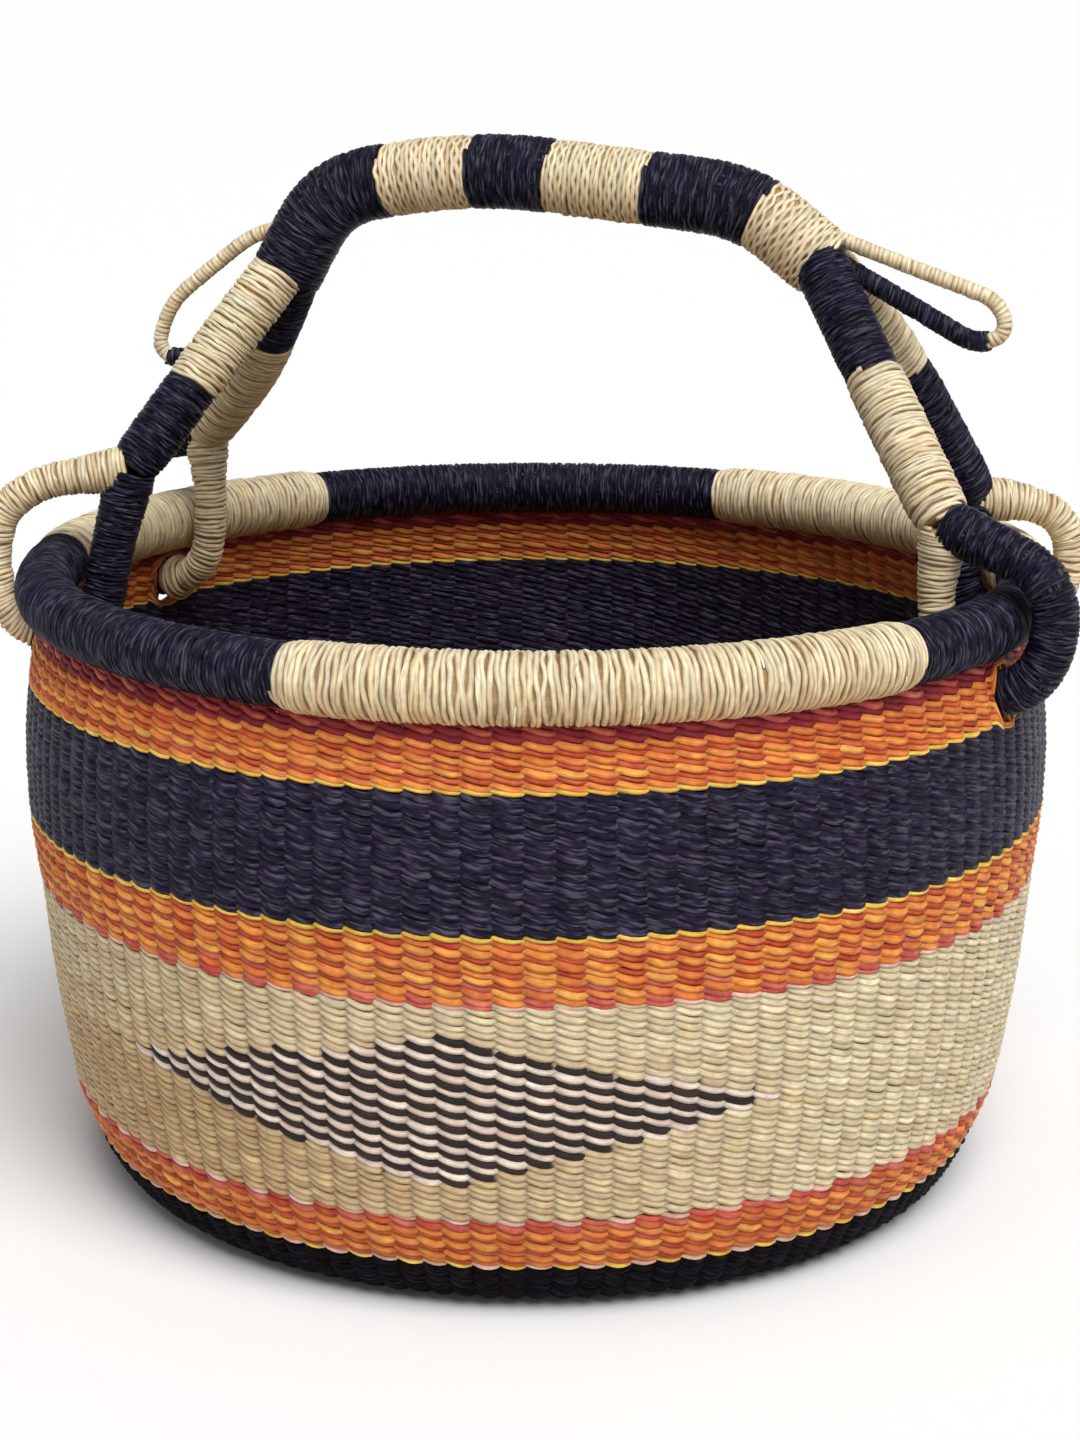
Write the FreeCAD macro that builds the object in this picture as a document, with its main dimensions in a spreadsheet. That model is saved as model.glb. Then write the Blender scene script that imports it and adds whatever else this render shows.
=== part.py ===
"""Round woven market basket with an arched, wrapped grass handle.

Own frame: millimetres, +Z up, origin at the middle of the flat base.
The handle arch runs along X, the front of the basket faces -Y.
Every sub-part is one labelled object, written to parts/LABEL.step.
"""
import FreeCAD
import Part

import math
import os

import Sketcher
from FreeCAD import Placement, Rotation, Vector

os.makedirs("parts", exist_ok=True)
doc = FreeCAD.newDocument("MarketBasket")
sheet = doc.addObject("Spreadsheet::Sheet", "Sizes")

# ---------------------------------------------------------------- driving dimensions

SIZES = [
    # wall: height of each colour change above the base, and outer radius there
    ("border_top_height", 227.3), ("border_top_radius", 199.5),
    ("border_foot_height", 222.5), ("border_foot_radius", 200.9),
    ("upper_foot_height", 204.8), ("upper_foot_radius", 204.1),
    ("navy_foot_height", 154.4), ("navy_foot_radius", 206.0),
    ("middle_foot_height", 127.0), ("middle_foot_radius", 203.1),
    ("natural_foot_height", 43.2), ("natural_foot_radius", 192.6),
    ("lower_foot_height", 20.1), ("lower_foot_radius", 183.8),
    ("base_radius", 160.0),
    # radius half way down each band, so that the wall bows smoothly
    ("border_waist", 200.3), ("upper_waist", 202.8), ("navy_waist", 206.3),
    ("middle_waist", 204.9), ("natural_waist", 199.2), ("lower_waist", 189.2),
    ("base_turn_radius", 176.5), ("base_turn_height", 7.6),
    # wall build-up: weft outside, stakes, weft inside
    ("skin", 1.4), ("stake_gap", 0.1), ("wall", 5.0),
    ("stake_count", 120), ("stake_width_angle", 0.8),
    # rim ring
    ("rim_radius", 196.0), ("rim_height", 240.0),
    ("rim_tube_radius", 12.3), ("rim_core_radius", 8.5),
    ("rim_navy_right", 326.6), ("rim_natural_right", 12.0), ("rim_navy_back", 79.2),
    ("rim_natural_left", 135.8), ("rim_navy_left", 188.9), ("rim_natural_front", 258.7),
    # handle
    ("handle_offset", 8.0),
    ("grip_radius", 14.6), ("grip_core_radius", 9.0),
    ("leg_radius", 11.0), ("leg_core_radius", 6.5),
    ("navy_prong_radius", 8.9), ("natural_prong_radius", 7.0), ("prong_core_radius", 4.0),
    ("ear_navy_radius", 4.1), ("ear_natural_radius", 3.1), ("ear_core_radius", 1.7),
    # where the four loops hold the rim, in degrees round from +X
    ("front_left_angle", 194.9), ("back_left_angle", 160.4),
    ("front_right_angle", 344.9), ("back_right_angle", 19.9),
    # top of each loop: how far inside the rim's centre line, and how far above it
    ("front_left_reach", 34.0), ("front_left_rise", 42.0),
    ("back_left_reach", 22.0), ("back_left_rise", 42.0),
    ("front_right_reach", 21.0), ("front_right_rise", 36.0),
    ("back_right_reach", 17.0), ("back_right_rise", 27.0),
    # openings in the wall under the rim, with room for the loops to rock
    ("slot_radius", 13.0), ("slot_height", 214.8),
]

for row, (alias, number) in enumerate(SIZES, start=1):
    sheet.set(f"A{row}", alias)
    sheet.set(f"B{row}", str(number))
    sheet.setAlias(f"B{row}", alias)
doc.recompute()


def size(alias):
    """A driving dimension as a number."""
    return float(getattr(sheet, alias))


# ---------------------------------------------------------------- small helpers

SUB_PARTS = []
FULL_TURN = 360.0
CORNERS = ("front_left", "back_left", "front_right", "back_right")


def new_body(label, is_part=True):
    body = doc.addObject("PartDesign::Body", label)
    body.Label = label
    body.AllowCompound = True
    if is_part:
        SUB_PARTS.append(body)
    return body


def new_sketch(body, name, role):
    """A sketch on one of the body's own origin planes."""
    plane = next(item for item in body.Origin.OriginFeatures if item.Role == role)
    sketch = body.newObject("Sketcher::SketchObject", name)
    sketch.AttachmentSupport = [(plane, "")]
    sketch.MapMode = "FlatFace"
    return sketch


def bind_point(sketch, edge, end, point, across, up):
    """Hold one end of an edge at a point, whose coordinates are two expressions of the sheet."""
    for kind, value, expression in (("DistanceX", point.x, across), ("DistanceY", point.y, up)):
        index = sketch.addConstraint(Sketcher.Constraint(kind, -1, 1, edge, end, value))
        sketch.setExpression(f"Constraints[{index}]", expression)


def add_bound_circle(sketch, alias, centre_alias=None):
    """A circle of a sheet radius, at the origin or on the sketch's first axis."""
    centre = Vector(size(centre_alias), 0, 0) if centre_alias else Vector(0, 0, 0)
    circle = sketch.addGeometry(Part.Circle(centre, Vector(0, 0, 1), size(alias)), False)
    radius = sketch.addConstraint(Sketcher.Constraint("Radius", circle, size(alias)))
    sketch.setExpression(f"Constraints[{radius}]", f"Sizes.{alias}")
    if centre_alias:
        reach = sketch.addConstraint(Sketcher.Constraint("DistanceX", -1, 1, circle, 3, centre.x))
        sketch.setExpression(f"Constraints[{reach}]", f"Sizes.{centre_alias}")
        sketch.addConstraint(Sketcher.Constraint("PointOnObject", circle, 3, -1))
    else:
        sketch.addConstraint(Sketcher.Constraint("Coincident", circle, 3, -1, 1))


def turn(body, sketch, angle):
    """Revolve a sketch of the XZ plane about Z; angle is a number or an expression."""
    feature = body.newObject("PartDesign::Revolution", "Turn")
    feature.Profile = sketch
    feature.ReferenceAxis = (sketch, ["V_Axis"])
    if isinstance(angle, str):
        feature.setExpression("Angle", angle)
    else:
        feature.Angle = angle
    return feature


def cut_away(label, blank, tools, is_part=True):
    """The blank less every tool, as the labelled sub-part."""
    for number, tool in enumerate(tools, start=1):
        cut = doc.addObject("Part::Cut", f"{label}_cut_{number}")
        cut.Base = blank
        cut.Tool = tool
        blank = cut
    blank.Label = label
    if is_part:
        SUB_PARTS.append(blank)
    return blank


# ---------------------------------------------------------------- woven wall

# Each level: expressions for the outer point, and the inward direction of the wall.
LEVELS = {
    "border_top": ("Sizes.border_top_radius", "Sizes.border_top_height", (-1, 0)),
    "border_foot": ("Sizes.border_foot_radius", "Sizes.border_foot_height", (-1, 0)),
    "upper_foot": ("Sizes.upper_foot_radius", "Sizes.upper_foot_height", (-1, 0)),
    "navy_foot": ("Sizes.navy_foot_radius", "Sizes.navy_foot_height", (-1, 0)),
    "middle_foot": ("Sizes.middle_foot_radius", "Sizes.middle_foot_height", (-1, 0)),
    "natural_foot": ("Sizes.natural_foot_radius", "Sizes.natural_foot_height", (-1, 0)),
    "lower_foot": ("Sizes.lower_foot_radius", "Sizes.lower_foot_height", (-1, 0)),
    "base_edge": ("Sizes.base_radius", "0", (0, 1)),
}
BANDS = [
    ("border_row", "border_top", "border_foot", "border_waist"),
    ("upper_orange_band", "border_foot", "upper_foot", "upper_waist"),
    ("navy_band", "upper_foot", "navy_foot", "navy_waist"),
    ("middle_orange_band", "navy_foot", "middle_foot", "middle_waist"),
    ("natural_band", "middle_foot", "natural_foot", "natural_waist"),
    ("lower_orange_band", "natural_foot", "lower_foot", "lower_waist"),
]
HALF_RIGHT = math.sqrt(0.5)
# Depths below the wall's outer surface, each as multiples of these three sizes.
DEPTH_SIZES = ("wall", "skin", "stake_gap")
OUTER_SKIN = ((0, 0, 0), (0, 1, 0))
INNER_SKIN = ((1, -1, 0), (1, 0, 0))
STAKE_LAYER = ((0, 1, 1), (1, -1, -1))


def depth_value(multiples):
    """A depth as a number."""
    return sum(multiple * size(alias) for multiple, alias in zip(multiples, DEPTH_SIZES))


def depth_expression(multiples):
    """The same depth as an expression of the sheet."""
    terms = [f"{multiple} * Sizes.{alias}" for multiple, alias in zip(multiples, DEPTH_SIZES)]
    return f"({' + '.join(terms)})"


def level_value(level):
    """The outer point of a level as numbers."""
    if level == "base_edge":
        return size("base_radius"), 0.0
    return size(f"{level}_radius"), size(f"{level}_height")


def level_point(level, depth):
    """A wall point at a depth below the outer surface: as a vector, and as expressions."""
    across, up, (inward, upward) = LEVELS[level]
    radius, height = level_value(level)
    inset = depth_value(depth)
    point = Vector(radius + inward * inset, height + upward * inset, 0)
    if inward:
        across = f"{across} - {depth_expression(depth)}"
    if upward:
        up = depth_expression(depth)
    return point, across, up


def waist_point(top, foot, waist, depth):
    """The point that a layer's edge passes through half way down the band."""
    inset = depth_value(depth)
    if foot == "base_edge":
        return Vector(size("base_turn_radius") - HALF_RIGHT * inset,
                      size("base_turn_height") + HALF_RIGHT * inset, 0)
    middle = 0.5 * (level_value(top)[1] + level_value(foot)[1])
    return Vector(size(waist) - inset, middle, 0)


def add_layer(sketch, top, foot, waist, layer):
    """One closed layer of the wall: two long arcs joined by the band's two edges."""
    arcs = []
    for depth in layer:
        start, start_across, start_up = level_point(top, depth)
        end, end_across, end_up = level_point(foot, depth)
        through = waist_point(top, foot, waist, depth)
        index = sketch.addGeometry(Part.Arc(start, through, end), False)
        # an arc runs anticlockwise, so its first end may be the upper or the lower one
        first = sketch.getPoint(index, 1)
        upper, lower = (1, 2) if first.distanceToPoint(start) < first.distanceToPoint(end) else (2, 1)
        sketch.addConstraint(Sketcher.Constraint("Radius", index, sketch.Geometry[index].Radius))
        bind_point(sketch, index, upper, start, start_across, start_up)
        bind_point(sketch, index, lower, end, end_across, end_up)
        arcs.append((index, upper, lower, start, end))
    outer, outer_top, outer_foot, top_out, foot_out = arcs[0]
    inner, inner_top, inner_foot, top_in, foot_in = arcs[1]
    upper_edge = sketch.addGeometry(Part.LineSegment(top_out, top_in), False)
    lower_edge = sketch.addGeometry(Part.LineSegment(foot_out, foot_in), False)
    sketch.addConstraint([
        Sketcher.Constraint("Coincident", upper_edge, 1, outer, outer_top),
        Sketcher.Constraint("Coincident", upper_edge, 2, inner, inner_top),
        Sketcher.Constraint("Coincident", lower_edge, 1, outer, outer_foot),
        Sketcher.Constraint("Coincident", lower_edge, 2, inner, inner_foot),
    ])


def woven_band(label, top, foot, waist, is_part=True):
    """A band of weft: one skin outside the stakes and one inside them."""
    body = new_body(label, is_part)
    sketch = new_sketch(body, "BandSection", "XZ_Plane")
    for layer in (OUTER_SKIN, INNER_SKIN):
        add_layer(sketch, top, foot, waist, layer)
    turn(body, sketch, FULL_TURN)
    return body


def wall_stakes(label):
    """The upright stakes between the two skins, from the base edge to the rim."""
    body = new_body(label, is_part=False)
    for top, foot, waist in [band[1:] for band in BANDS] + [("lower_foot", "base_edge", None)]:
        sketch = new_sketch(body, f"StakeSection_{foot}", "XZ_Plane")
        add_layer(sketch, top, foot, waist, STAKE_LAYER)
        turn(body, sketch, "Sizes.stake_width_angle")
    pattern = body.newObject("PartDesign::PolarPattern", "Stakes")
    pattern.Originals = [item for item in body.Group if item.TypeId == "PartDesign::Revolution"]
    pattern.Axis = (body.Group[0], ["V_Axis"])
    pattern.Angle = FULL_TURN
    pattern.setExpression("Occurrences", "Sizes.stake_count")
    body.Tip = pattern
    return body


SLOT_LENGTH = 60.0


def rim_slots():
    """Four round passages through the top of the wall, where the handle loops go through."""
    slots = []
    for corner in CORNERS:
        slot = doc.addObject("Part::Cylinder", f"slot_{corner}")
        slot.setExpression("Radius", "Sizes.slot_radius")
        slot.Height = SLOT_LENGTH
        angle = math.radians(size(f"{corner}_angle"))
        outward = Vector(math.cos(angle), math.sin(angle), 0)
        start = outward * (size("rim_radius") - SLOT_LENGTH / 2)
        slot.Placement = Placement(start, Rotation(Vector(0, 0, 1), outward))
        slot.setExpression("Placement.Base.z", "Sizes.slot_height")
        slots.append(slot)
    group = doc.addObject("Part::Compound", "rim_slots")
    group.Links = slots
    return group


slots = rim_slots()
SLOTTED = ("border_row", "upper_orange_band", "navy_band")
for label, top, foot, waist in BANDS:
    if label in SLOTTED:
        cut_away(label, woven_band(f"{label}_blank", top, foot, waist, is_part=False), [slots])
    else:
        woven_band(label, top, foot, waist)
woven_band("base_navy_band", "lower_foot", "base_edge", None)
cut_away("wall_stakes", wall_stakes("wall_stakes_blank"), [slots])


def woven_base(label):
    """The flat woven bottom inside the base band."""
    body = new_body(label)
    sketch = new_sketch(body, "BaseOutline", "XY_Plane")
    add_bound_circle(sketch, "base_radius")
    pad = body.newObject("PartDesign::Pad", "BaseThickness")
    pad.Profile = sketch
    pad.setExpression("Length", "Sizes.wall")
    return body


woven_base("base_disc")


# ---------------------------------------------------------------- rim

def rim_piece(label, radii, start=None, end=None):
    """A stretch of the rim ring from one sheet angle to the next, or the whole ring."""
    body = new_body(label)
    sketch = new_sketch(body, "TubeSection", "XZ_Plane")
    for alias in radii:
        add_bound_circle(sketch, alias, "rim_radius")
    if start:
        turn(body, sketch, f"mod(Sizes.{end} - Sizes.{start} + 360; 360)")
        body.Placement.Rotation = Rotation(Vector(0, 0, 1), size(start))
        body.setExpression("Placement.Rotation.Angle", f"Sizes.{start}")
    else:
        turn(body, sketch, FULL_TURN)
    body.setExpression("Placement.Base.z", "Sizes.rim_height")
    return body


RIM_WRAPS = ["rim_natural_front", "rim_navy_right", "rim_natural_right",
             "rim_navy_back", "rim_natural_left", "rim_navy_left"]

rim_piece("rim_core", ["rim_core_radius"])
for number, label in enumerate(RIM_WRAPS):
    following = RIM_WRAPS[(number + 1) % len(RIM_WRAPS)]
    rim_piece(label, ["rim_tube_radius", "rim_core_radius"], label, following)


# ---------------------------------------------------------------- routes and bundles

BEND_SHARE = 0.45       # part of the shorter run that a bend takes up
SHORTEST_PIECE = 1e-6   # a shorter remainder of an edge is rounding, and is left out


def bundle_route(corners):
    """Straight runs between flat-lying corner points, joined by tangent arcs."""
    edges = []
    last = corners[0]
    for before, corner, after in zip(corners, corners[1:], corners[2:]):
        into = (corner - before).normalize()
        out = (after - corner).normalize()
        setback = BEND_SHARE * min((corner - before).Length, (after - corner).Length)
        half_turn = into.getAngle(out) / 2
        bend_start = corner - into * setback
        bend_end = corner + out * setback
        to_middle = (out - into).normalize()
        bend_radius = setback / math.tan(half_turn)
        inset = bend_radius / math.cos(half_turn) - bend_radius
        edges.append(Part.LineSegment(last, bend_start).toShape())
        edges.append(Part.Arc(bend_start, corner + to_middle * inset, bend_end).toShape())
        last = bend_end
    edges.append(Part.LineSegment(last, corners[-1]).toShape())
    return edges


def route_length(edges):
    return sum(edge.Length for edge in edges)


def stretch(edges, start, end):
    """The part of a route between two distances from its beginning."""
    pieces = []
    passed = 0.0
    for edge in edges:
        low = max(start - passed, 0.0)
        high = min(end - passed, edge.Length)
        if high - low > SHORTEST_PIECE:
            first, last = (edge.getParameterByLength(distance) for distance in (low, high))
            points = [edge.valueAt(p) for p in (first, 0.5 * (first + last), last)]
            if isinstance(edge.Curve, Part.Circle):
                pieces.append(Part.Arc(*points).toShape())
            else:
                pieces.append(Part.LineSegment(points[0], points[2]).toShape())
        passed += edge.Length
    return pieces


def edge_ends(edge):
    """Start, middle and end of an edge along its own direction."""
    low, high = edge.ParameterRange
    return [edge.valueAt(p) for p in (low, 0.5 * (low + high), high)]


def bundle(label, edges, normal, radii, is_part=True):
    """A bundle of one or two sheet radii along a flat route; normal is across its plane."""
    body = new_body(label, is_part)
    start, _, _ = edge_ends(edges[0])
    ahead = edges[0].tangentAt(edges[0].ParameterRange[0])
    side = normal.cross(ahead).normalize()
    frame = FreeCAD.Matrix(side.x, normal.x, ahead.x, start.x,
                           side.y, normal.y, ahead.y, start.y,
                           side.z, normal.z, ahead.z, start.z,
                           0, 0, 0, 1)
    body.Placement = Placement(frame)
    to_own = body.Placement.inverse()
    path = new_sketch(body, "Route", "XZ_Plane")
    for edge in edges:
        own = [to_own.multVec(point) for point in edge_ends(edge)]
        flat = [Vector(point.x, point.z, 0) for point in own]
        if isinstance(edge.Curve, Part.Circle):
            piece = Part.Arc(*flat)
        else:
            piece = Part.LineSegment(flat[0], flat[2])
        index = path.addGeometry(piece, False)
        path.addConstraint(Sketcher.Constraint("Block", index))
    section = new_sketch(body, "Section", "XY_Plane")
    for alias in radii:
        add_bound_circle(section, alias)
    pipe = body.newObject("PartDesign::AdditivePipe", "Bundle")
    pipe.Profile = section
    pipe.Spine = (path, [f"Edge{number + 1}" for number in range(len(edges))])
    return body


# ---------------------------------------------------------------- grip

OFFSET = size("handle_offset")
RIM_RADIUS = size("rim_radius")
RIM_HEIGHT = size("rim_height")
HANDLE_NORMAL = Vector(0, 1, 0)


def in_handle_plane(points):
    """Points given as (along, above the rim) in the upright plane of the grip."""
    return [Vector(along, OFFSET, RIM_HEIGHT + above) for along, above in points]


GRIP_ROUTE = in_handle_plane([(-107, 116), (-88, 150), (-25, 160), (83, 148.5), (112.5, 125)])
GRIP_WRAPS = [
    ("grip_wrap_navy_left", 61.0),
    ("grip_wrap_natural_left", 36.5),
    ("grip_wrap_navy_middle", 31.0),
    ("grip_wrap_natural_middle", 40.0),
    ("grip_wrap_navy_right", 44.5),
    ("grip_wrap_natural_right", None),
]

grip_edges = bundle_route(GRIP_ROUTE)
grip_tool = bundle("grip_tool", grip_edges, HANDLE_NORMAL, ["grip_radius"], is_part=False)
bundle("grip_core", grip_edges, HANDLE_NORMAL, ["grip_core_radius"])
reached = 0.0
for label, length in GRIP_WRAPS:
    finish = reached + length if length else route_length(grip_edges)
    bundle(label, stretch(grip_edges, reached, finish), HANDLE_NORMAL, ["grip_radius", "grip_core_radius"])
    reached = finish


# ---------------------------------------------------------------- legs and their loops

# Upper leg points; the last point of each leg is the top of its loop.
LEG_STARTS = {
    "front_left": [Vector(-103, 3, 364), Vector(-130, -16, 325)],
    "back_left": [Vector(-103, 13, 360), Vector(-128, 34, 318)],
    "front_right": [Vector(109, 5, 371), Vector(136, -14, 326)],
    "back_right": [Vector(108, 11, 370), Vector(140, 34, 326)],
}
# Upper wrap, its length, and lower wrap.
LEG_WRAPS = {
    "front_left": ("natural", 66.0, "navy"),
    "back_left": ("navy", 42.0, "natural"),
    "front_right": ("navy", 56.0, "natural"),
    "back_right": ("natural", 63.0, "navy"),
}
# Colour of the prong outside the rim, and of the one inside it.
PRONG_WRAPS = {
    "front_left": ("natural", "navy"),
    "back_left": ("navy", "natural"),
    "front_right": ("navy", "natural"),
    "back_right": ("natural", "navy"),
}
# A loop round the rim tube, as (outward from the rim's centre line, above it).
# The two loops on the left stand up from the rim, and the two on the right lie closer to it.
LOOP_OVER_TOP = {
    "front_left": [(2, 37), (19, 26), (23.5, 6)],
    "back_left": [(2, 37), (19, 26), (23.5, 6)],
    "front_right": [(2, 28), (19, 21), (25, 5)],
    "back_right": [(2, 26), (19, 20), (25, 5)],
}
LOOP_UNDER = [(20.5, -14.5), (9, -25.5), (-8, -25.5), (-20.5, -14.5)]
LOOP_INSIDE = [(-24, 6)]
LEG_END_TRIM = 5.0      # the loop's two ends start this far from the end of the leg
LOOP_SPLIT = 0.56       # part of the loop's length that the outer prong covers


def loop_top(corner):
    return -size(f"{corner}_reach"), size(f"{corner}_rise")


def at_rim(corner, outward, above):
    """A point of the upright plane through the axis at a loop."""
    angle = math.radians(size(f"{corner}_angle"))
    radius = RIM_RADIUS + outward
    return Vector(radius * math.cos(angle), radius * math.sin(angle), RIM_HEIGHT + above)


def leg(corner, neighbours):
    """Core and two wraps of one leg, trimmed by the grip and the leg made before it."""
    points = LEG_STARTS[corner] + [at_rim(corner, *loop_top(corner))]
    edges = bundle_route(points)
    normal = (points[1] - points[0]).cross(points[2] - points[1]).normalize()
    upper, upper_length, lower = LEG_WRAPS[corner]
    total = route_length(edges)
    tube = ["leg_radius", "leg_core_radius"]
    pieces = [
        (f"{corner}_leg_core", edges, ["leg_core_radius"]),
        (f"{corner}_leg_wrap_{upper}", stretch(edges, 0, upper_length), tube),
        (f"{corner}_leg_wrap_{lower}", stretch(edges, upper_length, total), tube),
    ]
    for label, route, radii in pieces:
        blank = bundle(f"{label}_blank", route, normal, radii, is_part=False)
        cut_away(label, blank, neighbours)
    return bundle(f"{corner}_leg_tool", edges, normal, ["leg_radius"], is_part=False)


def loop(corner, leg_tool):
    """Core, outer prong and inner prong of the closed loop at the foot of a leg."""
    top = Vector(*loop_top(corner), 0)
    outline = [Vector(*point, 0) for point in LOOP_OVER_TOP[corner] + LOOP_UNDER + LOOP_INSIDE]
    first = top + (outline[0] - top).normalize() * LEG_END_TRIM
    last = top + (outline[-1] - top).normalize() * LEG_END_TRIM
    points = [at_rim(corner, point.x, point.y) for point in [first] + outline + [last]]
    edges = bundle_route(points)
    normal = (points[1] - points[0]).cross(points[3] - points[1]).normalize()
    total = route_length(edges)
    halfway = total * LOOP_SPLIT
    outer_colour, inner_colour = PRONG_WRAPS[corner]
    outer_radius, inner_radius = f"{outer_colour}_prong_radius", f"{inner_colour}_prong_radius"
    outside = stretch(edges, 0, halfway)
    inside = stretch(edges, halfway, total)
    core = bundle(f"{corner}_loop_core_blank", edges, normal, ["prong_core_radius"], is_part=False)
    cut_away(f"{corner}_loop_core", core, [leg_tool])
    inner_tube = [inner_radius, "prong_core_radius"]
    inner = bundle(f"{corner}_inner_blank", inside, normal, inner_tube, is_part=False)
    cut_away(f"{corner}_inner_prong_{inner_colour}", inner, [leg_tool])
    inner_tool = bundle(f"{corner}_inner_tool", inside, normal, [inner_radius], is_part=False)
    outer_tube = [outer_radius, "prong_core_radius"]
    outer = bundle(f"{corner}_outer_blank", outside, normal, outer_tube, is_part=False)
    cut_away(f"{corner}_outer_prong_{outer_colour}", outer, [leg_tool, inner_tool])


leg_tools = {}
for first, second in (("front_left", "back_left"), ("front_right", "back_right")):
    leg_tools[first] = leg(first, [grip_tool])
    leg_tools[second] = leg(second, [grip_tool, leg_tools[first]])
for corner in CORNERS:
    loop(corner, leg_tools[corner])


# ---------------------------------------------------------------- ear loops at the grip's ends

EARS = {
    "left": ([(-104, 136), (-122, 131), (-158, 103), (-165, 82), (-150, 79), (-110, 122)], 88.0),
    "right": ([(108, 139), (132, 130), (180, 113), (185, 100), (172, 96), (113, 129)], 95.0),
}

for side, (points, natural_length) in EARS.items():
    edges = bundle_route(in_handle_plane(points))
    tools = [grip_tool, leg_tools[f"front_{side}"], leg_tools[f"back_{side}"]]
    natural = stretch(edges, 0, natural_length)
    navy = stretch(edges, natural_length, route_length(edges))
    pieces = [
        (f"{side}_ear_core", edges, ["ear_core_radius"]),
        (f"{side}_ear_wrap_natural", natural, ["ear_natural_radius", "ear_core_radius"]),
        (f"{side}_ear_wrap_navy", navy, ["ear_navy_radius", "ear_core_radius"]),
    ]
    for label, route, radii in pieces:
        cut_away(label, bundle(f"{label}_blank", route, HANDLE_NORMAL, radii, is_part=False), tools)


# ---------------------------------------------------------------- check and write

doc.recompute()
faults = []
for item in doc.Objects:
    if {"Invalid", "Error"} & set(item.State):
        faults.append(f"{item.Label} {item.State}")
for part in SUB_PARTS:
    if part.Shape.isNull() or not part.Shape.isValid() or not part.Shape.Solids:
        faults.append(f"{part.Label} has no valid solid")
if faults:
    raise SystemExit("not written: " + "; ".join(faults))

for part in SUB_PARTS:
    part.Shape.exportStep(f"parts/{part.Label}.step")
    print(f"{part.Label:32s} {len(part.Shape.Solids):4d} solids {part.Shape.Volume / 1000:9.2f} cm3")
print(len(SUB_PARTS), "sub-parts")
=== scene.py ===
"""Looks of the woven market basket: twined grass walls, a wrapped rim and a wrapped handle.

Lengths are in millimetres until a mesh is made. +Z is up, the handle's arch runs along X,
and the front of the basket faces -Y.
"""

import math

import bpy
import numpy as np
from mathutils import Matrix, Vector


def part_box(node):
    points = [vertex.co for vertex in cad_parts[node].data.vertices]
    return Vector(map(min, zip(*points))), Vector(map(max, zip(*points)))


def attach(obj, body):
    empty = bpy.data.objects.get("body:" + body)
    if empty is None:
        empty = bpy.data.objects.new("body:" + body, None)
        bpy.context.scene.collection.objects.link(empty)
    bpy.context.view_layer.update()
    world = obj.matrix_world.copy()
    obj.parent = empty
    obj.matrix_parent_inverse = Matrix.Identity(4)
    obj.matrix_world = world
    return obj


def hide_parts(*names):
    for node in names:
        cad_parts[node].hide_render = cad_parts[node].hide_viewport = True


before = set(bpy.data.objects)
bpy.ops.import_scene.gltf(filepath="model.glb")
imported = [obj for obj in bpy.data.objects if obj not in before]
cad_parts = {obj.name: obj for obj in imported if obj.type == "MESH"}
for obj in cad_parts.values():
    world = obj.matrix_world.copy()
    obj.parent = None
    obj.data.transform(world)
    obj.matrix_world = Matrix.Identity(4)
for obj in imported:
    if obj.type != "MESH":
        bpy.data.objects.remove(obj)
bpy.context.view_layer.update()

MM = 0.001


def box_mm(node):
    """Lowest and highest corner of a CAD node in millimetres."""
    low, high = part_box(node)
    return np.array(low) / MM, np.array(high) / MM


# ---------------- colours

def linear(red, green, blue):
    """Linear colour of an 8-bit display colour."""
    channel = np.array([red, green, blue]) / 255
    return np.where(channel <= 0.04045, channel / 12.92, ((channel + 0.055) / 1.055) ** 2.4)


# Every grass colour is a few shades that blend into each other along a strand.
SHADES = {
    "natural": [(230, 216, 182), (222, 207, 168), (237, 226, 196), (212, 190, 148), (225, 214, 176)],
    "tan": [(204, 176, 130), (194, 163, 118), (212, 186, 142), (186, 152, 106)],
    "cream": [(242, 232, 204), (236, 224, 190), (230, 220, 184), (232, 210, 170)],
    "navy": [(30, 23, 48), (22, 17, 34), (38, 28, 54), (46, 38, 68), (25, 22, 54)],
    # A darker navy for the base turn and the base.
    "deep_navy": [(15, 11, 17), (20, 14, 21), (11, 9, 14), (26, 20, 28)],
    "wrap_navy": [(22, 20, 46), (14, 13, 28), (30, 28, 58), (36, 33, 60), (18, 17, 36)],
    "orange": [(228, 132, 62), (236, 144, 72), (218, 114, 54), (236, 152, 80)],
    "ember": [(196, 84, 46), (208, 100, 54), (184, 72, 44), (206, 100, 70)],
    "amber": [(238, 160, 78), (242, 172, 86), (232, 142, 64)],
    "yellow": [(240, 198, 84), (232, 182, 66), (246, 212, 112)],
    "rose": [(206, 98, 86), (194, 80, 64), (214, 118, 100)],
    "magenta": [(150, 44, 54), (166, 56, 60), (134, 36, 46)],
    "blush": [(230, 190, 172), (220, 168, 148), (236, 208, 192)],
    "bark": [(40, 27, 24), (32, 22, 22), (54, 38, 34)],
    "shell": [(232, 214, 200), (224, 198, 184), (238, 226, 212)],
    "stem": [(112, 92, 58), (172, 150, 108)],
    # Near-black stakes for the navy band and the base.
    "dark_stem": [(20, 12, 10), (40, 24, 18)],
}
SHADE_CONTRAST = 1.4    # how sharply a strand's shades part from each other
LINEAR_SHADES = {name: np.array([linear(*shade) for shade in shades]) for name, shades in SHADES.items()}


def smooth_noise(rng, shape, spread):
    """Random values of about one, smoothed along the last axis, which closes on itself."""
    spread = min(spread, shape[-1] / 8)
    count = shape[-1]
    frequency = np.fft.rfftfreq(count)
    soften = np.exp(-2 * (math.pi * frequency * spread) ** 2)
    values = np.fft.irfft(np.fft.rfft(rng.standard_normal(shape)) * soften, count)
    return values / max(values.std(), 1e-9)


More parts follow.
